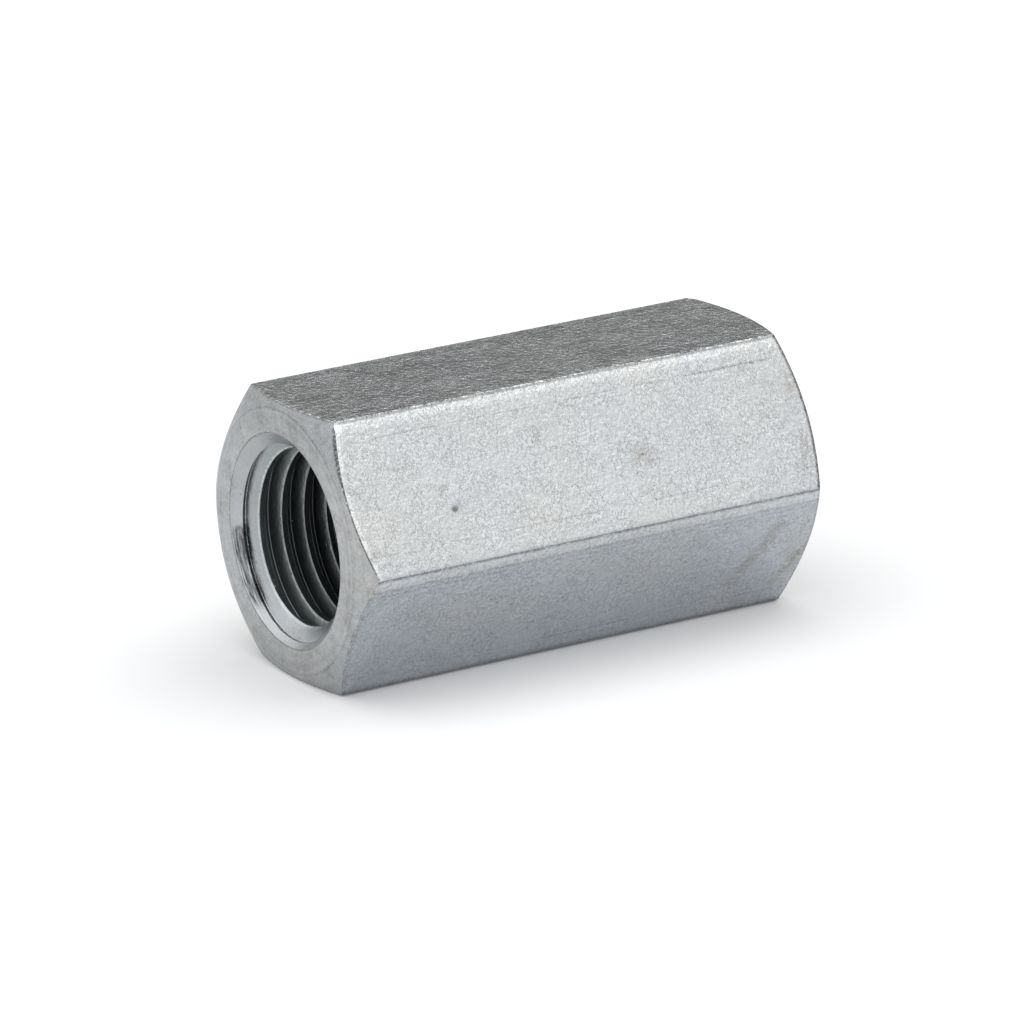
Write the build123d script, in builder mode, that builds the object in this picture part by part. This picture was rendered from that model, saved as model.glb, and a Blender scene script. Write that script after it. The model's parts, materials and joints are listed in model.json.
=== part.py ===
from build123d import *
from math import radians, sqrt, tan
import os

# A hexagonal coupling nut, M16 x 2, right-hand, lying on one of its flats.
# The thread axis is X, the middle of the nut is the origin, and +Z is up.

# Driving dimensions, in millimetres and degrees
length = 42.0
major_diameter = 16.0
pitch = 2.0
thread_angle = 60.0

# Steel between the thread's major diameter and a flat
wall = 3.0
corner_radius = 0.35

# How far inside the flats the end face stops, and the slope of its chamfer
chamfer_inset = 0.55
chamfer_angle = 27.0

# How far the countersink's rim stands outside the major diameter, and its whole angle
countersink_margin = 0.45
countersink_angle = 90.0

# A metric internal thread takes five eighths of its sharp triangle's height
thread_depth_share = 5 / 8

# Room that the turning profile has past the hexagon's corners
overrun = 1.0

# The bore is drilled to the thread's minor diameter
triangle_height = pitch / (2 * tan(radians(thread_angle / 2)))
minor_radius = major_diameter / 2 - thread_depth_share * triangle_height
rim_radius = major_diameter / 2 + countersink_margin

across_flats = major_diameter + 2 * wall
half_length = length / 2

# Turned shape of the ends: a cone rises from the end face's radius until it clears the corners
end_radius = across_flats / 2 - chamfer_inset
clear_radius = across_flats / sqrt(3) + overrun
cone_length = (clear_radius - end_radius) * tan(radians(chamfer_angle))

with BuildPart() as coupling_nut:
    # Drawn hexagon bar, two of its flats level
    with BuildSketch(Plane.YZ) as bar:
        RegularPolygon(across_flats / 2, 6, major_radius=False)
        fillet(bar.vertices(), corner_radius)
    extrude(amount=half_length, both=True)

    # Chamfer turned on both ends, which leaves an arc across each flat
    with BuildSketch(Plane.XY):
        with BuildLine():
            Polyline(
                (0, 0),
                (half_length, 0),
                (half_length, end_radius),
                (half_length - cone_length, clear_radius),
                (0, clear_radius),
                close=True,
            )
        make_face()
        mirror(about=Plane.YZ)
    revolve(axis=Axis.X, mode=Mode.INTERSECT)

    # Bore through the nut, countersunk from both ends
    with Locations(*coupling_nut.faces().filter_by(Axis.X)):
        CounterSinkHole(minor_radius, rim_radius, counter_sink_angle=countersink_angle)

coupling_nut.part.label = "coupling_nut"

os.makedirs("parts", exist_ok=True)
export_step(coupling_nut.part, "parts/coupling_nut.step")
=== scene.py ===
import json
from math import cos, hypot, pi, radians, sin, sqrt, tan

import bpy
from mathutils import Matrix, Vector


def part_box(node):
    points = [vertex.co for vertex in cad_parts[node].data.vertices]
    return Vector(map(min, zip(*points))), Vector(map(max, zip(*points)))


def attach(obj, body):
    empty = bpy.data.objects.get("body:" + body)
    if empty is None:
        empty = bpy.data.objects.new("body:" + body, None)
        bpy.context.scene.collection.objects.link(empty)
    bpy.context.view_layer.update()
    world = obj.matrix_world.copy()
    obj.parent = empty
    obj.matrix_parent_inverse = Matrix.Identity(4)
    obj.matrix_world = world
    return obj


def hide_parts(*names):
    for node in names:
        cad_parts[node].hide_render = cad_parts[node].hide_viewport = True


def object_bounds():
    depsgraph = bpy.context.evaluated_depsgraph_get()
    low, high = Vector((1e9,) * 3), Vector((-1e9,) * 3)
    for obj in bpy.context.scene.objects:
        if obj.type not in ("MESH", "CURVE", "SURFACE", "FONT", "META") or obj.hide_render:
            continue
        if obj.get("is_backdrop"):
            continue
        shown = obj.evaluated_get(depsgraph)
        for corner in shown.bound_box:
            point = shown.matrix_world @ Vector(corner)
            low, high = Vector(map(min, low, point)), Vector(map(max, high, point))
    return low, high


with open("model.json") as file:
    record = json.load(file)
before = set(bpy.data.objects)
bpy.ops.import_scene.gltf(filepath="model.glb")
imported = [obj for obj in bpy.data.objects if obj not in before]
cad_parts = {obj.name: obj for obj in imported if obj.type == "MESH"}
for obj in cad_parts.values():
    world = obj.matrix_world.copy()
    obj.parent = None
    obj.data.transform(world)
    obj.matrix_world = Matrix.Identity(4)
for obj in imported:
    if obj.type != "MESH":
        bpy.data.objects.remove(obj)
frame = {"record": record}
cad_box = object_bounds()

mm = 0.001

# Sizes that the frame gives
nut_low, nut_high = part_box("coupling_nut")
length = nut_high.x - nut_low.x
across_flats = nut_high.z - nut_low.z
across_corners = nut_high.y - nut_low.y
corner_radius = (across_flats / sqrt(3) - across_corners / 2) / (1 / cos(radians(30)) - 1)
bore = next(mount for mount in frame["record"]["mounts"] if mount["kind"] == "threaded_hole")
crest_radius = bore["dims"]["r_mm"] * mm
rim_radius = crest_radius + (length - bore["dims"]["length_mm"] * mm) / 2

# Thread: M16 x 2, right-hand. Its depth is five eighths of the sharp triangle's height
pitch = 2.0 * mm
thread_angle = radians(60)
flank_slope = tan(pi / 2 - thread_angle / 2)
thread_depth = 5 / 8 * pitch / 2 * flank_slope
thread_start = 1.52 * mm

# End faces, as turned
chamfer_inset = 0.55 * mm
chamfer_angle = radians(27)
face_radius = across_flats / 2 - chamfer_inset

# Camera, solved from the object's outline in the picture
view_azimuth = radians(-31.06)
view_elevation = radians(18.02)
view_roll = radians(-1.30)
view_distance = 0.6207
view_aim = (-0.453 * mm, -1.49 * mm)
lens_mm = 280.1
sensor_mm = 36.0
far_clip = 20.0


class Socket:
    """The output of a node. Arithmetic on it adds Math nodes."""

    def __init__(self, graph, output):
        self.graph = graph
        self.output = output

    def __add__(self, other):
        return self.graph.math("ADD", self, other)

    def __radd__(self, other):
        return self.graph.math("ADD", other, self)

    def __sub__(self, other):
        return self.graph.math("SUBTRACT", self, other)

    def __rsub__(self, other):
        return self.graph.math("SUBTRACT", other, self)

    def __mul__(self, other):
        return self.graph.math("MULTIPLY", self, other)

    def __rmul__(self, other):
        return self.graph.math("MULTIPLY", other, self)

    def __truediv__(self, other):
        return self.graph.math("DIVIDE", self, other)

    def __pow__(self, other):
        return self.graph.math("POWER", self, other)

    def __mod__(self, other):
        return self.graph.math("FLOORED_MODULO", self, other)

    def __gt__(self, other):
        return self.graph.math("GREATER_THAN", self, other)

    def __lt__(self, other):
        return self.graph.math("LESS_THAN", self, other)

    def __abs__(self):
        return self.graph.math("ABSOLUTE", self)

    def __neg__(self):
        return self.graph.math("MULTIPLY", self, -1.0)

    def other(self, name):
        """Another output of the same node."""
        return Socket(self.graph, self.output.node.outputs[name])


class Graph:
    """A node tree that is written as expressions."""

    def __init__(self, tree):
        self.tree = tree

    def node(self, kind, settings=None, sockets=None, output=0):
        """Adds a node of this kind, its settings first, then the values or links of its sockets."""
        made = self.tree.nodes.new(kind)
        for name, value in (settings or {}).items():
            if name == "choices":
                for _ in range(value - len(made.index_switch_items)):
                    made.index_switch_items.new()
            else:
                setattr(made, name, value)
        for name, value in (sockets or {}).items():
            for one in value if isinstance(value, list) else [value]:
                if isinstance(one, Socket):
                    self.tree.links.new(one.output, made.inputs[name])
                else:
                    made.inputs[name].default_value = one
        return Socket(self, made.outputs[output]) if made.outputs else made

    def math(self, operation, *values):
        return self.node("ShaderNodeMath", {"operation": operation}, dict(enumerate(values)))

    def clamp(self, value, low, high):
        return self.math("MINIMUM", self.math("MAXIMUM", value, low), high)

    def step(self, value, low, high):
        """Rises smoothly from 0 to 1 as the value goes from low to high."""
        return self.node("ShaderNodeMapRange", {"interpolation_type": "SMOOTHSTEP"}, {
            "Value": value, "From Min": low, "From Max": high,
        })

    def line(self, value, centre, width):
        """1 where the value is at the centre, and 0 from this width away."""
        return 1 - self.step(abs(value - centre), 0.0, width)

    def noise(self, place, grain, detail=2.0, roughness=0.5):
        """Noise whose features are about this size, from 0 to 1."""
        return self.node("ShaderNodeTexNoise", {}, {
            "Vector": place, "Scale": 1 / grain, "Detail": detail, "Roughness": roughness,
        }, "Fac")

    def uneven(self, place, grain, detail=2.0, roughness=0.5):
        """The same noise, from -0.5 to 0.5."""
        return self.noise(place, grain, detail, roughness) - 0.5

    def vector(self, x, y, z):
        return self.node("ShaderNodeCombineXYZ", {}, {"X": x, "Y": y, "Z": z})

    def scaled(self, vector, *factors):
        """The vector with each part times its own factor."""
        return self.node("ShaderNodeVectorMath", {"operation": "MULTIPLY"}, {0: vector, 1: factors})

    def mix(self, factor, first, second):
        """A colour between two colours."""
        return self.node("ShaderNodeMix", {"data_type": "RGBA"}, {0: factor, 6: first, 7: second}, 2)

    def choose(self, index, *values):
        """The value at this index of the list."""
        sockets = {"Index": index}
        sockets.update({str(i): value for i, value in enumerate(values)})
        return self.node("GeometryNodeIndexSwitch", {"data_type": "FLOAT", "choices": len(values)}, sockets)


def bend(start, corner, end, t):
    """A point on the curve that leaves start towards the corner and turns into end."""
    return (1 - t) * (1 - t) * start + 2 * t * (1 - t) * corner + t * t * end


def nut_tree():
    """Geometry Nodes for a hexagonal coupling nut with a helical thread. Gives the tree and its inputs."""
    tree = bpy.data.node_groups.new("coupling nut", "GeometryNodeTree")
    tree.interface.new_socket("Nut", in_out="OUTPUT", socket_type="NodeSocketGeometry")
    inputs = {}
    for kind, names in {
        "NodeSocketFloat": (
            "Length", "Across flats", "Corner radius", "Chamfer inset", "Chamfer angle",
            "Rim radius", "Crest radius", "Root radius", "Pitch", "Flank slope", "Thread start",
            "Edge round", "Thread round", "Shoulder width", "Shoulder drop",
        ),
        "NodeSocketInt": ("Columns a side",),
        "NodeSocketMaterial": ("Finish",),
    }.items():
        for name in names:
            inputs[name] = tree.interface.new_socket(name, in_out="INPUT", socket_type=kind).identifier

    graph = Graph(tree)
    group = tree.nodes.new("NodeGroupInput")
    size = {name: Socket(graph, group.outputs[name]) for name in inputs}
    half = size["Length"] / 2
    flat = size["Across flats"] / 2
    columns = size["Columns a side"] * 6
    index = graph.node("GeometryNodeInputIndex")

    def grid(columns, stations):
        counts = {"Vertices X": columns, "Vertices Y": stations}
        return graph.node("GeometryNodeMeshGrid", {}, counts, "Mesh")

    def place(mesh, x, radius, angle):
        """Puts a grid's points at these places along the thread axis, out from it and round it."""
        point = graph.vector(x, -radius * graph.math("SINE", angle), radius * graph.math("COSINE", angle))
        return graph.node("GeometryNodeSetPosition", {}, {"Geometry": mesh, "Position": point})

    # Outer bands: a column of points runs along the nut, and each band takes five of them.
    # Columns crowd towards the corners, which take a quarter of them
    rows = 5
    crowding = 1.8
    corner_share = 1 / 8
    strip = grid(columns + 1, rows)
    column = graph.math("FLOOR", index / rows)
    along = (index - column * rows) / (rows - 1)
    turn = column / columns * 2 * pi

    # A column's place on the hexagon, from the corner nearest to it
    sixth = radians(60)
    nudge = 0.0001
    corner_turn = (graph.math("FLOOR", turn / sixth + nudge) + 0.5) * sixth
    step = column % size["Columns a side"] - size["Columns a side"] / 2
    corner_columns = size["Columns a side"] * corner_share
    flat_columns = size["Columns a side"] / 2 - corner_columns
    swing = graph.math("MINIMUM", abs(step) / corner_columns, 1.0) * sixth / 2
    run = graph.math("MAXIMUM", abs(step) - corner_columns, 0.0) / flat_columns
    run = run ** crowding * (flat - size["Corner radius"]) * tan(sixth / 2)

    # Each flat falls away towards its corners, where the die has worn, and towards one more than the other
    even_share = 0.6
    lop_side = even_share + (1 - even_share) * swing / (sixth / 2) * graph.math("SIGN", step)
    fall = graph.math("MAXIMUM", 1 - run / size["Shoulder width"], 0.0)
    bulge = size["Corner radius"] - size["Shoulder drop"] * lop_side * fall * fall
    out = (flat - size["Corner radius"]) / cos(sixth / 2)
    out = out + bulge * graph.math("COSINE", swing) - run * sin(sixth / 2)
    aside = bulge * graph.math("SINE", swing) + run * cos(sixth / 2)
    reach = graph.math("SQRT", out * out + aside * aside)
    lean = graph.math("ARCTAN2", aside, out) * graph.math("SIGN", step)
    hexagon_turn = corner_turn + lean

    chamfer_sine = graph.math("SINE", size["Chamfer angle"])
    chamfer_cosine = graph.math("COSINE", size["Chamfer angle"])
    face_radius = flat - size["Chamfer inset"]
    drop = (reach - face_radius) * chamfer_sine / chamfer_cosine
    cut = size["Edge round"]
    lip = cut * sqrt(0.5)
    ring_depth = size["Rim radius"] - size["Root radius"]

    # Rings of an end, as depth behind the end face, radius and angle
    ring = (ring_depth, size["Root radius"], turn)
    lip_in = (lip, size["Rim radius"] - lip, turn)
    rim = (0.0, size["Rim radius"], turn)
    lip_out = (0.0, size["Rim radius"] + cut, turn)
    face_edge = (0.0, face_radius - cut, hexagon_turn)
    face_corner = (0.0, face_radius, hexagon_turn)
    cone_start = (cut * chamfer_sine, face_radius + cut * chamfer_cosine, hexagon_turn)
    cone_end = (drop - cut * chamfer_sine, reach - cut * chamfer_cosine, hexagon_turn)
    arc = (drop, reach, hexagon_turn)
    side_start = (drop + cut, reach, hexagon_turn)

    def band(side, start, corner, end):
        depth, radius, angle = (bend(a, b, c, along) for a, b, c in zip(start, corner, end))
        return place(strip, side * (half - depth), radius, angle)

    def straight(side, start, end):
        depth, radius, angle = (a + (b - a) * along for a, b in zip(start, end))
        return place(strip, side * (half - depth), radius, angle)

    ends = {}
    for side in (-1, 1):
        ends[side] = graph.node("GeometryNodeJoinGeometry", {}, {"Geometry": [
            straight(side, ring, lip_in),
            band(side, lip_in, rim, lip_out),
            straight(side, lip_out, face_edge),
            band(side, face_edge, face_corner, cone_start),
            straight(side, cone_start, cone_end),
            band(side, cone_end, arc, side_start),
        ]})
    sides = place(strip, (2 * along - 1) * (half - drop - cut), reach, hexagon_turn)

    # Bore: each groove has its own stations, and the last column meets the first one pitch on
    per_groove = 19
    grooves = graph.math("CEIL", size["Length"] / size["Pitch"]) + 2
    stations = grooves * per_groove + 1
    wall = grid(columns + 1, stations)
    column = graph.math("FLOOR", index / stations)
    station = index - column * stations
    groove = graph.math("FLOOR", station / per_groove)
    place_in_groove = station - groove * per_groove
    turn = column / columns * 2 * pi
    centre = size["Thread start"] - half + (groove - 2 + column / columns) * size["Pitch"]

    # Half the root's flat, and where the crest's flat begins, from the middle of a groove
    root_edge = size["Pitch"] / 16
    crest_edge = size["Pitch"] * 3 / 8
    soft = size["Thread round"]
    reach_of_soft = soft / size["Flank slope"]
    soft_places = (-1, -1 / 3, 1 / 3, 1)
    ring_place = ring_depth - half
    cone_foot = size["Rim radius"] - size["Crest radius"] - half
    from_middle = place_in_groove - per_groove / 2
    side = graph.math("SIGN", from_middle)

    # Where a flank runs out into the countersink of the near end, and of the far one
    rise = size["Flank slope"] * root_edge
    near_foot = (centre - ring_place + rise) / (size["Flank slope"] - side)
    far_foot = (-centre - ring_place + rise) / (size["Flank slope"] + side)
    foot = graph.clamp(
        graph.math("MINIMUM", near_foot, far_foot), root_edge + reach_of_soft, crest_edge - reach_of_soft
    )
    crest_run_out = graph.clamp(
        graph.math("SIGN", -centre) * cone_foot,
        centre - size["Pitch"] + crest_edge + reach_of_soft,
        centre - crest_edge - reach_of_soft,
    )
    offset = side * graph.choose(
        abs(from_middle) - 0.5,
        *(root_edge + reach_of_soft * share for share in soft_places),
        foot,
        *(crest_edge + reach_of_soft * share for share in soft_places),
        0.0,
    )
    x = graph.choose(place_in_groove > 0.5, crest_run_out, centre + offset)
    x = graph.clamp(x, ring_place, -ring_place)
    flank = size["Root radius"] - (abs(x - centre) - root_edge) * size["Flank slope"]
    radius = graph.math("SMOOTH_MIN", flank, size["Root radius"], soft)
    radius = graph.math("SMOOTH_MAX", radius, size["Crest radius"], soft)
    countersink = size["Rim radius"] - half + abs(x)
    radius = graph.math("MAXIMUM", radius, countersink)

    # The tap has torn the crests a little
    tear_length, tear_depth, crest_zone, from_ring = 0.4 * mm, 0.09 * mm, 0.25 * mm, 0.1 * mm
    crest = size["Crest radius"]
    spot = graph.vector(x, crest * graph.math("SINE", turn), crest * graph.math("COSINE", turn))
    torn = graph.uneven(spot, tear_length) * (radius < crest + crest_zone)
    radius = radius + torn * tear_depth * (abs(x) < -ring_place - from_ring)
    thread = place(wall, x, radius, turn)

    turned_over = graph.node("GeometryNodeFlipFaces", {}, {"Mesh": graph.node(
        "GeometryNodeJoinGeometry", {}, {"Geometry": [ends[1], thread]}
    )})
    mesh = graph.node("GeometryNodeJoinGeometry", {}, {"Geometry": [ends[-1], sides, turned_over]})
    weld = 0.001 * mm
    sharpest_smooth = radians(38)
    mesh = graph.node("GeometryNodeMergeByDistance", {}, {"Geometry": mesh, "Distance": weld})
    mesh = graph.node(
        "GeometryNodeSetShadeSmooth", {"domain": "FACE"}, {"Geometry": mesh, "Shade Smooth": True}
    )
    crease = graph.node("GeometryNodeInputMeshEdgeAngle", {}, {}, "Unsigned Angle") > sharpest_smooth
    mesh = graph.node(
        "GeometryNodeSetShadeSmooth", {"domain": "EDGE"},
        {"Geometry": mesh, "Selection": crease, "Shade Smooth": False},
    )
    mesh = graph.node("GeometryNodeRealizeInstances", {}, {"Geometry": mesh})
    mesh = graph.node("GeometryNodeSetMaterial", {}, {"Geometry": mesh, "Material": size["Finish"]})
    result = tree.nodes.new("NodeGroupOutput")
    tree.links.new(mesh.output, result.inputs["Nut"])
    return tree, inputs


def plated_nut(finish):
    """The nut as a plain mesh, made by its tree from the frame's sizes."""
    tree, inputs = nut_tree()
    nut = bpy.data.objects.new("plated_nut", bpy.data.meshes.new("plated_nut"))
    bpy.context.scene.collection.objects.link(nut)
    shape = nut.modifiers.new("shape", "NODES")
    shape.node_group = tree
    for name, value in {
        "Length": length,
        "Across flats": across_flats,
        "Corner radius": corner_radius,
        "Chamfer inset": chamfer_inset,
        "Chamfer angle": chamfer_angle,
        "Rim radius": rim_radius,
        "Crest radius": crest_radius,
        "Root radius": crest_radius + thread_depth,
        "Pitch": pitch,
        "Flank slope": flank_slope,
        "Thread start": thread_start,
        "Edge round": 0.12 * mm,
        "Thread round": 0.07 * mm,
        "Shoulder width": 1.10 * mm,
        "Shoulder drop": 0.12 * mm,
        "Columns a side": 32,
        "Finish": finish,
    }.items():
        shape[inputs[name]] = value
    weighting = nut.modifiers.new("normals follow the wide faces", "WEIGHTED_NORMAL")
    weighting.keep_sharp = True
    bpy.context.view_layer.update()
    evaluated = nut.evaluated_get(bpy.context.evaluated_depsgraph_get())
    nut.data = bpy.data.meshes.new_from_object(evaluated)
    nut.modifiers.clear()
    return nut


class Places:
    """Where a point of the nut is, in millimetres and radians, and which surface it is on."""

    def __init__(self, graph):
        point = graph.node("ShaderNodeTexCoord", {}, {}, "Object")
        facing = graph.node("ShaderNodeSeparateXYZ", {}, {"Vector": point.other("Normal")})
        self.graph = graph
        self.point = graph.scaled(point, 1 / mm, 1 / mm, 1 / mm)
        self.x = graph.node("ShaderNodeSeparateXYZ", {}, {"Vector": self.point})
        y, z = self.x.other("Y"), self.x.other("Z")
        self.radius = graph.math("SQRT", y * y + z * z)
        self.turn = graph.math("ARCTAN2", -y, z)
        self.depth = length / 2 / mm - abs(self.x)

        # Side 0 is the top flat, side 1 the upper front one, and so on round to 5
        sixth = radians(60)
        side = graph.math("FLOOR", self.turn / sixth + 0.5)
        self.side = side % 6
        from_middle = self.turn - side * sixth
        self.across = self.radius * graph.math("SINE", from_middle)
        self.from_edge = across_flats / sqrt(3) / 2 / mm - abs(self.across)
        self.past_edge = self.from_edge * graph.math("SIGN", -self.across)

        # Noises that several finishes share
        ragged_size, fleck_size = 0.45, 0.28
        self.ragged = graph.noise(self.point, ragged_size)
        self.flecks = graph.noise(self.point, fleck_size)

        # The bore is inside the rim, and the thread begins below the countersink
        bore_edge = [rim_radius / mm - inset for inset in (0.10, 0.02)]
        thread_depths = (0.6, 2.4)
        self.in_bore = 1 - graph.step(self.radius, *bore_edge)
        self.in_thread = self.in_bore * graph.step(self.depth, *thread_depths)

        # The end faces and their chamfers are what faces along the axis
        end_facing = (0.45, 0.75)
        self.on_end = graph.step(abs(facing), *end_facing) * (1 - self.in_bore)
        self.on_flats = (1 - self.on_end) * (1 - self.in_bore)

        # How far a point of a flat is from the chamfer, and a point of the chamfer below the flat
        chamfer_depth = (self.radius - face_radius / mm) * tan(chamfer_angle)
        self.from_chamfer = self.depth - chamfer_depth
        self.below_flat = across_flats / 2 / mm - self.radius * graph.math("COSINE", from_middle)

    def is_side(self, side):
        return abs(self.side - side) < 0.5

    def blot(self, side, along, over, width, height):
        """1 in the middle of a ragged spot on one flat, falling to 0 at its edge."""
        graph = self.graph
        core, raggedness = 0.1, 1.4
        aside = (self.x - along) / width
        above = (self.across - over) / height
        reach = graph.math("SQRT", aside * aside + above * above) + (self.ragged - 0.5) * raggedness
        return (1 - graph.step(reach, core, 1.0)) * self.is_side(side) * self.on_flats

    def streak(self, side, start, end, width):
        """1 on a ragged stroke between two places of one flat, falling to 0 at its edge."""
        graph = self.graph
        raggedness = 2.2
        long = hypot(end[0] - start[0], end[1] - start[1])
        way = ((end[0] - start[0]) / long, (end[1] - start[1]) / long)
        aside, above = self.x - start[0], self.across - start[1]
        on_way = aside * way[0] + above * way[1]
        off_way = aside * way[1] - above * way[0]
        beyond = on_way - graph.clamp(on_way, 0.0, long)
        reach = graph.math("SQRT", beyond * beyond + off_way * off_way) / width
        reach = reach + (self.ragged - 0.5) * raggedness
        return (1 - graph.step(reach, 0.0, 1.0)) * self.is_side(side) * self.on_flats


def grain(graph, at):
    """Crumpled grain of the plated steel: relief in millimetres, and tone, with painted glints on the top
    flat.
    """
    crumple_size, speck_size, patch_size, blotch_size, streak_size = 0.50, 0.17, 1.7, 0.75, 0.22
    squeeze, blotch_stretch, streak_stretch = 1.3, 0.45, 0.35

    place = graph.scaled(at.point, squeeze, 1.0, 1.0)
    crumple = graph.noise(place, crumple_size, detail=2.5, roughness=0.6)
    speck = graph.noise(place, speck_size, detail=1.0)
    patch = graph.noise(at.point, patch_size, detail=3.0)

    # Creases follow one level of the crumpling, in patches
    crease_level, crease_width = 0.48, 0.055
    in_patches = (0.30, 0.55)
    crease = 1 - graph.step(abs(crumple - crease_level), 0.0, crease_width)
    crease = crease * graph.step(patch, *in_patches)

    # The top flat has painted glints, highlights in long specks, and is blotched
    top = at.is_side(0) * at.on_flats
    painted_glint_levels = (0.56, 0.68)
    streak = graph.noise(graph.scaled(at.point, streak_stretch, 1.0, 1.0), streak_size)
    painted_glint = graph.step(streak, *painted_glint_levels) * top
    long_place = graph.scaled(at.point, blotch_stretch, 1.0, 1.0)
    blotch = graph.uneven(long_place, blotch_size, detail=3.0, roughness=0.6)

    # How much of it each surface has
    less_on_lower, less_in_bore, less_on_end, more_on_top = 0.10, 0.75, 0.50, 0.50
    strength = 1 - at.is_side(2) * at.on_flats * less_on_lower - at.in_bore * less_in_bore
    strength = strength - at.on_end * less_on_end + top * more_on_top

    crumple_relief, speck_relief, crease_relief = 0.105, 0.008, 0.012
    speck_tone, crease_tone, patch_tone, painted_glint_tone, blotch_tone = 0.56, 0.31, 0.20, 0.36, 0.75
    relief = crumple * crumple_relief + speck * speck_relief - crease * crease_relief
    tone = (speck - 0.5) * speck_tone - crease * crease_tone + (patch - 0.5) * patch_tone
    # The glints are painted highlights that lighten the top flat's colour
    tone = tone + painted_glint * painted_glint_tone + blotch * top * blotch_tone
    return relief * strength, tone * strength


def draw_lines(graph, at):
    """Lengthwise lines from the die, lines beside the edges, and painted light and shade along the edges:
    relief, tone and the pale band of painted reflection.
    """
    waver, edge_waver = 0.25, 0.20
    inside = at.from_edge + (at.ragged - 0.5) * waver
    top, upper, lower = (at.is_side(side) for side in (0, 1, 2))
    first = at.across < 0

    # Fine lines all over, and stretches where the larger ones show
    line_stretch, line_size = 0.07, 0.15
    fine_lines = graph.scaled(at.point, line_stretch, 1.0, 1.0)
    fine_lines = graph.uneven(fine_lines, line_size, roughness=0.6)
    gap_stretch, gap_size = 0.35, 0.9
    gap_levels = (0.42, 0.56)
    broken = graph.scaled(at.point, gap_stretch, 1.0, 1.0)
    broken = graph.step(graph.noise(broken, gap_size, detail=3.0, roughness=0.8), *gap_levels)

    # One dark line inside each edge, plainest near the far end of the upper front flat
    line_from_edge, light_from_edge = 1.84, 2.08
    line_width, light_width = 0.13, 0.09
    plain_start, plain_end = (9.0, 12.0), (18.0, 19.5)
    plain_share = 0.7
    plain = graph.step(at.x, *plain_start) * (1 - graph.step(at.x, *plain_end)) * upper * first
    line = graph.line(inside, line_from_edge, line_width)
    line = line * graph.math("MAXIMUM", broken, plain * plain_share)
    light_line = graph.line(inside, light_from_edge, light_width) * broken * (lower + plain)

    # The edge between the two front flats is a ragged dark line, with a pale band of painted reflection
    # below it
    mid_turn, mid_reach = radians(90), radians(8)
    near_mid = graph.line(at.turn, mid_turn, mid_reach)
    edge_place, edge_width = 0.20, 0.24
    edge_gaps = (0.34, 0.46)
    edge = graph.line(at.past_edge + (at.ragged - 0.5) * edge_waver, edge_place, edge_width)
    edge = edge * near_mid * graph.step(at.flecks, *edge_gaps)
    band_start, band_end, band_flecks = (0.32, 0.50), (1.05, 1.20), (0.40, 0.55)
    steady = 0.55
    # Painted reflection: the pale band lightens the lower front flat just below the edge
    band = graph.step(inside, *band_start) * (1 - graph.step(inside, *band_end)) * lower * first
    band = band * (steady + graph.step(at.flecks, *band_flecks) * (1 - steady))
    under_place, under_width, under_steady = 1.34, 0.15, 0.35
    under_band = graph.line(inside, under_place, under_width) * first * lower
    under_band = under_band * (under_steady + broken * (1 - under_steady))

    # Painted shade dulls the round of the top edge, which would shine too much, and darkens the bottom edge
    # by the table
    top_turn, top_reach = radians(30), radians(1.6)
    low_turn, low_reach = radians(150), radians(3.4)
    top_edge_painted_shade = graph.line(at.turn, top_turn, top_reach)
    bottom_edge_painted_shade = graph.line(at.turn, low_turn, low_reach)
    # A painted highlight lightens the upper front flat in a band along the top edge
    highlight_band_reach = (0.55, 1.05)
    top_band_painted_highlight = (1 - graph.step(inside, *highlight_band_reach)) * first * upper

    fine_relief, more_on_lower, line_relief = 0.004, 0.003, 0.010
    under_share = 0.6
    relief = fine_lines * (fine_relief + lower * more_on_lower)
    relief = relief - (line + under_band * under_share) * line_relief
    fine_tone, fine_tone_lower = 0.12, 0.06
    line_tone, plain_tone, top_line_tone = 0.18, 0.26, 0.50
    tone = fine_lines * (fine_tone + lower * fine_tone_lower)
    tone = tone - line * (line_tone + plain * plain_tone - top * top_line_tone)
    light_tone, highlight_band_tone, pale_band_painted_tone, under_tone = 0.13, 0.07, 0.17, 0.16
    tone = tone + light_line * light_tone + top_band_painted_highlight * highlight_band_tone + band * pale_band_painted_tone - under_band * under_tone
    mid_edge_tone, top_edge_shade_tone, bottom_edge_shade_tone = 0.42, 0.34, 0.48
    tone = tone - edge * mid_edge_tone - top_edge_painted_shade * top_edge_shade_tone - bottom_edge_painted_shade * bottom_edge_shade_tone
    return relief * at.on_flats, tone * at.on_flats, band


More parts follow.
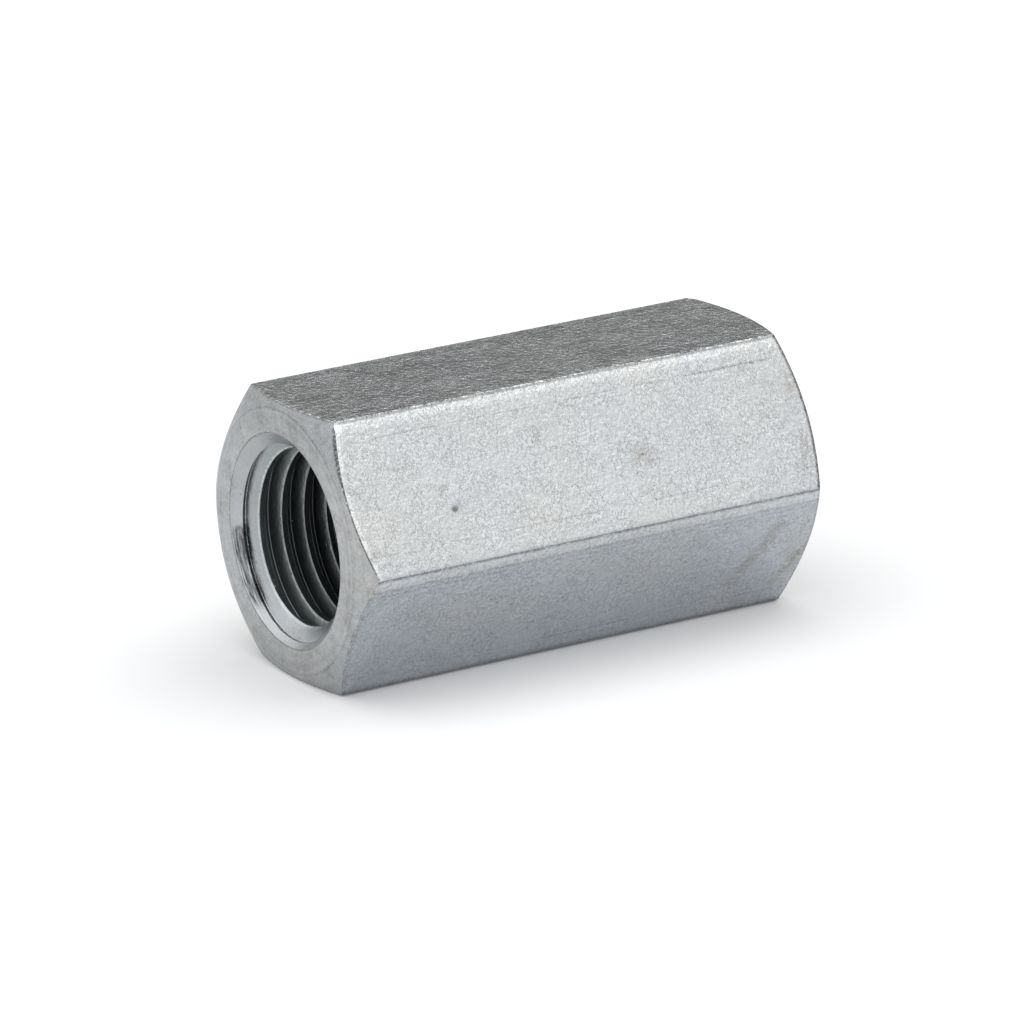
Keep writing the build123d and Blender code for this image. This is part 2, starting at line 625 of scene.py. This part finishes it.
def turned_marks(graph, at):
    """Rings of the turned ends, mottled where they have been rubbed: relief and tone."""
    rings_a_mm, sweep = 8, 0.5
    rings = graph.vector(at.radius * rings_a_mm, at.turn * sweep, at.x * rings_a_mm)
    rings = graph.uneven(rings, 1.0, roughness=0.7)
    mottle_size = 0.9
    mottle = graph.uneven(at.point, mottle_size, detail=4.0, roughness=0.7)

    # Dark rings where the chamfer begins and just inside it, and specks round the rim
    waver = 0.3
    ring_width, inner_inset, inner_width, inner_share = 0.16, 0.55, 0.35, 0.5
    speck_outset, speck_width = 0.35, 0.30
    radius = at.radius + (at.ragged - 0.5) * waver
    ring = graph.line(radius, face_radius / mm, ring_width)
    ring = ring + graph.line(radius, face_radius / mm - inner_inset, inner_width) * inner_share
    speckled = graph.line(radius, rim_radius / mm + speck_outset, speck_width)
    speck_levels = (0.54, 0.68)
    specks = graph.step(at.flecks, *speck_levels)

    # The face is darker at its top, and at its bottom with painted shade where it mirrors the shaded table
    top_zone, bottom_zone = (0.5, 0.95), (0.6, 1.0)
    height = graph.math("COSINE", at.turn)
    upper = graph.step(height, *top_zone)
    lower = graph.step(-height, *bottom_zone)

    ring_relief, mottle_relief = 0.008, 0.020
    relief = rings * ring_relief + mottle * mottle_relief
    rings_tone, mottle_tone, ring_tone = 0.30, 0.60, 0.17
    speck_tone, rim_speck_tone, top_speck_tone = 0.03, 0.18, 0.05
    tone = rings * rings_tone + mottle * mottle_tone
    tone = tone - specks * (speck_tone + speckled * rim_speck_tone + upper * top_speck_tone)
    tone = tone - ring * ring_tone
    paler, top_tone, bottom_shade_tone, far_tone = 0.03, 0.15, 0.09, 0.12
    tone = tone + paler - upper * top_tone - lower * bottom_shade_tone - (at.x > 0) * far_tone
    return relief * at.on_end, tone * at.on_end


def edge_wear_and_highlights(graph, at):
    """Tone of the edges: painted highlights in flecks where the lit flats meet the chamfers, along the
    thread's crest and on the near upper corner, and dark flecks and lines beside them and round the rim.
    """
    near, far = at.x < 0, at.x > 0
    upper = at.is_side(1)
    top_share = 0.5
    lit = (upper + at.is_side(0) * top_share) * near

    # On the flats, along the arc that the chamfer leaves: painted highlight in flecks where the flats are
    # lit, dark flecks on the others
    bright_reach, dull_reach, outline_reach = (0.22, 0.42), (0.10, 0.30), (0.14, 0.34)
    bright_gaps, dull_gaps = (0.38, 0.50), (0.3, 0.5)
    bright = (1 - graph.step(at.from_chamfer, *bright_reach)) * at.on_flats
    bright = bright * graph.step(at.ragged, *bright_gaps) * lit
    dull = (1 - graph.step(at.from_chamfer, *dull_reach)) * at.on_flats
    dull = dull * (1 - lit) * graph.step(at.flecks, *dull_gaps)
    outline = (1 - graph.step(at.from_chamfer, *outline_reach)) * at.on_flats * far * upper

    # On the chamfer, in teeth that are longest by the near upper corner
    tooth, longer_tooth, tooth_core = 0.18, 0.26, 0.45
    tooth_gaps, long_zone = (0.34, 0.48), (-3.5, 0.5)
    tooth = tooth + upper * (1 - graph.step(at.across, *long_zone)) * longer_tooth
    dark = (1 - graph.step(at.below_flat / tooth, tooth_core, 1.0)) * at.on_end
    dark = dark * graph.step(at.flecks, *tooth_gaps)

    # Dark flecks round the countersink's rim, and a painted highlight along the thread's crest
    rim_place, rim_width, rim_gaps = rim_radius / mm + 0.04, 0.09, (0.24, 0.38)
    crest_place, crest_width, crest_gaps = crest_radius / mm + 0.10, 0.09, (0.3, 0.5)
    rim = graph.line(at.radius, rim_place, rim_width) * at.on_end * graph.step(at.flecks, *rim_gaps)
    crest = graph.line(at.radius, crest_place, crest_width) * at.in_thread
    crest = crest * graph.step(at.flecks, *crest_gaps)

    # A painted highlight on the near upper corner, where its round catches the overhead light
    corner_highlight_turn, corner_highlight_reach = radians(31), radians(5.5)
    corner_highlight_depths, corner_highlight_radii, corner_highlight_gaps = (1.3, 2.0), (11.95, 12.2), (0.25, 0.45)
    corner_highlight = graph.line(at.turn, corner_highlight_turn, corner_highlight_reach) * (1 - graph.step(at.depth, *corner_highlight_depths)) * near
    corner_highlight = corner_highlight * graph.step(at.radius, *corner_highlight_radii) * graph.step(at.ragged, *corner_highlight_gaps)

    arc_highlight_tone, dull_tone, outline_tone, dark_tone, upper_dark_tone = 0.28, 0.22, 0.42, 0.28, 0.34
    rim_tone, crest_highlight_tone, corner_highlight_tone = 0.38, 0.9, 0.28
    tone = bright * arc_highlight_tone - dull * dull_tone - outline * outline_tone
    tone = tone - dark * (dark_tone + upper * near * upper_dark_tone)
    return tone - rim * rim_tone + crest * crest_highlight_tone + corner_highlight * corner_highlight_tone


def pits(graph, at):
    """Small dark pits, scattered over the nut, and the two larger ones of the upper front flat."""
    cells_a_mm, chance, small_share = 0.9, 0.5, 0.8
    pit_size = (0.02, 0.09)
    cells = graph.node("ShaderNodeTexVoronoi", {}, {"Vector": at.point, "Scale": cells_a_mm}, "Distance")
    draw = graph.node("ShaderNodeSeparateColor", {}, {"Color": cells.other("Color")})
    found = (1 - graph.step(cells, *pit_size)) * (draw > chance) * small_share
    for along, over, width, height in ((-11.97, 2.04, 0.46, 0.36), (5.3, 0.9, 0.25, 0.2)):
        found = found + at.blot(1, along, over, width, height)
    return graph.math("MINIMUM", found, 1.0)


def stains(graph, at):
    """Brown haze towards the ends, blots on the upper front flat and slanting streaks on the lower one."""
    haze_size, haze_share, end_share = 2.4, 0.6, 0.3
    haze_levels, haze_zone = (0.50, 0.74), (13.0, 20.5)
    haze = graph.step(graph.noise(at.point, haze_size, detail=4.0, roughness=0.7), *haze_levels)
    where = graph.math("MINIMUM", graph.step(abs(at.x), *haze_zone) + at.on_end * end_share, 1.0)
    haze = haze * where * haze_share

    # Places along the nut and across the flat, then sizes
    blot_share, streak_share = 0.6, 0.6
    for along, over, width, height in (
        (19.9, -2.1, 0.8, 1.8), (19.6, 3.0, 0.8, 2.0), (-3.3, -2.3, 0.4, 1.7), (5.3, 0.9, 1.7, 1.2),
        (-12.6, 0.3, 0.9, 0.6),
    ):
        haze = haze + at.blot(1, along, over, width, height) * blot_share
    for start, end, width in (((14.3, 2.6), (17.3, -2.9), 1.1), ((18.4, 3.8), (20.0, 0.9), 0.8)):
        haze = haze + at.streak(2, start, end, width) * streak_share

    fleck_levels = (0.28, 0.56)
    return graph.math("MINIMUM", haze * graph.step(at.flecks, *fleck_levels), 1.0)


def burnish(graph, at):
    """Where the near countersink has been rubbed: dark, with bright strokes below 0."""
    start, end = (radians(-150), radians(-132)), (radians(-101), radians(-95))
    around = graph.step(at.turn, *start) * (1 - graph.step(at.turn, *end))
    middle, width, waver, hardness, deepest = 8.02, 0.55, 0.4, 2.2, 1.3
    here = around * graph.line(at.radius + (at.ragged - 0.5) * waver, middle, width)
    here = here * at.in_bore * (at.x < 0)
    here = graph.clamp(here * hardness, 0.0, 1.0) * (at.depth < deepest)

    # Strokes run round the cone
    strokes_a_radian, strokes_a_mm = 3.5, 7
    strokes = graph.vector(at.turn * strokes_a_radian, at.radius * strokes_a_mm, 0.0)
    strokes = graph.noise(strokes, 1.0, detail=3.0, roughness=0.7)
    dark_levels, bright_levels = (0.47, 0.55), (0.44, 0.38)
    rubbed, dark_share, bright_share = 0.70, 0.55, 0.65
    dark = graph.step(strokes, *dark_levels) * dark_share
    return here * (rubbed + dark - graph.step(strokes, *bright_levels) * bright_share)


def zinc_plate():
    """Zinc-plated drawn steel: grained flats with draw lines, turned ends and a tapped bore."""
    material = bpy.data.materials.new("zinc plate")
    material.use_nodes = True
    graph = Graph(material.node_tree)
    shader = material.node_tree.nodes["Principled BSDF"]
    at = Places(graph)

    grain_relief, grain_tone = grain(graph, at)
    line_relief, line_tone, band = draw_lines(graph, at)
    turned_relief, turned_tone = turned_marks(graph, at)
    pitted = pits(graph, at)
    rubbed = burnish(graph, at)
    haze = stains(graph, at)
    cloud_size = 4.0
    clouds = graph.uneven(at.point, cloud_size, detail=3.0, roughness=0.6)

    # Tone multiplies the metal's colour. Each surface has its own share of it
    cloud_tone, off_flats_tone, thread_shade_tone, deep_shade_tone = 0.16, 0.18, 0.20, 0.40
    pit_tone, rub_tone, upper_flat_painted_light, lower_flat_painted_shade, top_tone = 0.48, 0.62, 0.04, 0.01, 0.07
    # Painted shade darkens the thread, and the deep bore more
    deep_bore = (1.5, 6.0)
    deep_bore_shade = at.in_thread * graph.step(at.depth, *deep_bore)
    tone = 1 + grain_tone + line_tone + turned_tone + clouds * cloud_tone + edge_wear_and_highlights(graph, at)
    tone = tone * (1 - (1 - at.on_flats) * off_flats_tone)
    tone = tone * (1 - at.in_thread * thread_shade_tone) * (1 - deep_bore_shade * deep_shade_tone)
    tone = tone * (1 - pitted * pit_tone) * (1 - rubbed * rub_tone)
    # Painted light and shade by side: the upper front flat lighter, the lower front flat and the top flat
    # darker
    painted_light_by_side = at.is_side(1) * upper_flat_painted_light - at.is_side(2) * lower_flat_painted_shade - at.is_side(0) * top_tone
    tone = tone * (1 + at.on_flats * painted_light_by_side)

    # Colours of the plating: neutral, where it looks blue, in the countersinks, in the thread and stained
    neutral, blue = (0.53, 0.535, 0.525, 1.0), (0.485, 0.515, 0.56, 1.0)
    cone, thread, stain = (0.55, 0.565, 0.58, 1.0), (0.485, 0.53, 0.535, 1.0), (0.34, 0.32, 0.295, 1.0)
    blue_size, blue_levels = 7.0, (0.25, 0.75)
    blue_patches, lower_flat_blue_reflection, blue_end, less_blue_in_pale_band, brown_pits = 0.4, 0.6, 0.12, 0.6, 0.8
    bluish = graph.step(graph.noise(at.point, blue_size), *blue_levels) * blue_patches
    # On the lower front flat the blue is a painted reflection of the bluish shaded table
    bluish = bluish + at.is_side(2) * at.on_flats * lower_flat_blue_reflection
    bluish = graph.clamp(bluish + at.on_end * blue_end - band * less_blue_in_pale_band, 0.0, 1.0)
    colour = graph.mix(bluish, neutral, blue)
    colour = graph.mix(at.in_bore, colour, cone)
    colour = graph.mix(at.in_thread, colour, thread)
    colour = graph.mix(graph.math("MAXIMUM", haze, pitted * brown_pits), colour, stain)
    colour = graph.node("ShaderNodeVectorMath", {"operation": "SCALE"}, {0: colour, "Scale": tone})

    smooth, cloud_rough, haze_rough, end_rough, rub_smooth = 0.33, 0.10, 0.10, 0.06, 0.08
    rough = smooth + clouds * cloud_rough + haze * haze_rough
    rough = rough + at.on_end * end_rough - abs(rubbed) * rub_smooth
    pit_depth = 0.04
    relief = grain_relief + line_relief + turned_relief - pitted * pit_depth
    bump = graph.node("ShaderNodeBump", {}, {"Height": relief, "Distance": mm})
    shader.inputs["Metallic"].default_value = 1.0
    for name, value in (("Base Color", colour), ("Roughness", rough), ("Normal", bump)):
        graph.tree.links.new(value.output, shader.inputs[name])
    return material


def floor():
    """A white table top that keeps the nut's shadow."""
    size = 4.0
    albedo = (0.67, 0.67, 0.67, 1.0)
    white = (1.0, 1.0, 1.0, 1.0)
    glow_strength = 0.085
    mesh = bpy.data.meshes.new("floor")
    corners = [(x * size / 2, y * size / 2, nut_low.z) for x, y in ((-1, -1), (1, -1), (1, 1), (-1, 1))]
    mesh.from_pydata(corners, [], [(0, 1, 2, 3)])
    top = bpy.data.objects.new("floor", mesh)
    bpy.context.scene.collection.objects.link(top)
    material = bpy.data.materials.new("white table")
    material.use_nodes = True
    material.node_tree.nodes.clear()
    graph = Graph(material.node_tree)
    seen = graph.node("ShaderNodeLightPath", {}, {}, "Is Camera Ray")
    seen = graph.math("MAXIMUM", seen, graph.node("ShaderNodeLightPath", {}, {}, "Is Glossy Ray"))
    seen = graph.math("MAXIMUM", seen, graph.node("ShaderNodeLightPath", {}, {}, "Is Transmission Ray"))
    lit = graph.node("ShaderNodeBsdfDiffuse", {}, {"Color": albedo})
    glow = graph.node("ShaderNodeEmission", {}, {"Color": white, "Strength": seen * glow_strength})
    both = graph.node("ShaderNodeAddShader", {}, {0: lit, 1: glow})
    graph.node("ShaderNodeOutputMaterial", {}, {"Surface": both})
    mesh.materials.append(material)
    top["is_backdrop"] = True
    return top


def lamp(name, place, aim, width, depth, radiance, colour):
    """A soft box of this size, whose face has this brightness."""
    light = bpy.data.lights.new(name, "AREA")
    light.shape = "RECTANGLE"
    light.size = width
    light.size_y = depth
    light.energy = radiance * pi * width * depth
    light.color = colour
    box = bpy.data.objects.new(name, light)
    bpy.context.scene.collection.objects.link(box)
    box.location = place
    box.rotation_euler = (Vector(aim) - Vector(place)).to_track_quat("-Z", "Y").to_euler()
    return box


def surroundings():
    """A light tent, a little dimmer near the table, with a dark gap behind it."""
    world = bpy.data.worlds.new("surroundings")
    bpy.context.scene.world = world
    world.use_nodes = True
    graph = Graph(world.node_tree)
    way = graph.node("ShaderNodeTexCoord", {}, {}, "Generated")
    height = graph.node("ShaderNodeSeparateXYZ", {}, {"Vector": way}, "Z")

    # Brightness near the table, from half way up, and overhead, over the heights where it changes
    low_light, mid_light, top_light = 0.98, 0.24, 0.30
    mid_heights, top_heights = (0.15, 0.5), (0.60, 0.85)
    tent_colour = (0.985, 1.0, 1.015, 1.0)
    tent = low_light + mid_light * graph.step(height, *mid_heights)
    tent = tent + top_light * graph.step(height, *top_heights)

    # The gap's direction, how much darker it is, and its soft edge
    gap_way = Vector((0.46, 0.87, 0.17)).normalized()
    gap_darkness = 0.85
    gap_edge = (cos(radians(48)), cos(radians(24)))
    towards_gap = graph.node(
        "ShaderNodeVectorMath", {"operation": "DOT_PRODUCT"}, {0: way, 1: gap_way}, "Value"
    )
    light = tent * (1 - gap_darkness * graph.step(towards_gap, *gap_edge))
    background = world.node_tree.nodes["Background"]
    background.inputs["Color"].default_value = tent_colour
    world.node_tree.links.new(light.output, background.inputs["Strength"])


def camera():
    """The camera of the picture."""
    level_way = (sin(view_azimuth), -cos(view_azimuth))
    back = Vector((*(part * cos(view_elevation) for part in level_way), sin(view_elevation)))
    level = Vector((cos(view_azimuth), sin(view_azimuth), 0.0))
    rise = back.cross(level)
    right = cos(view_roll) * level + sin(view_roll) * rise
    up = cos(view_roll) * rise - sin(view_roll) * level
    data = bpy.data.cameras.new("camera")
    data.lens = lens_mm
    data.sensor_width = sensor_mm
    data.clip_end = far_clip
    eye = bpy.data.objects.new("camera", data)
    bpy.context.scene.collection.objects.link(eye)
    place = view_aim[0] * right + view_aim[1] * up + view_distance * back
    eye.matrix_world = Matrix.Translation(place) @ Matrix((right, up, back)).transposed().to_4x4()
    bpy.context.scene.camera = eye


def write_sizes():
    """Gathers the boxes of the frame's solids and of the scene, in metres."""
    boxes = {"cad": cad_box, "visual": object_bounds()}
    boxes = {name: [list(corner) for corner in box] for name, box in boxes.items()}


bpy.context.scene.view_settings.view_transform = "Standard"
nut = plated_nut(zinc_plate())
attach(nut, "root")
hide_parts("coupling_nut")
floor()
lamp(
    "overhead soft box", place=(0.08, 0.15, 0.9), aim=(0.0, 0.0, 0.0),
    width=1.5, depth=1.2, radiance=0.7, colour=(1.0, 0.99, 0.96),
)
surroundings()
camera()
write_sizes()
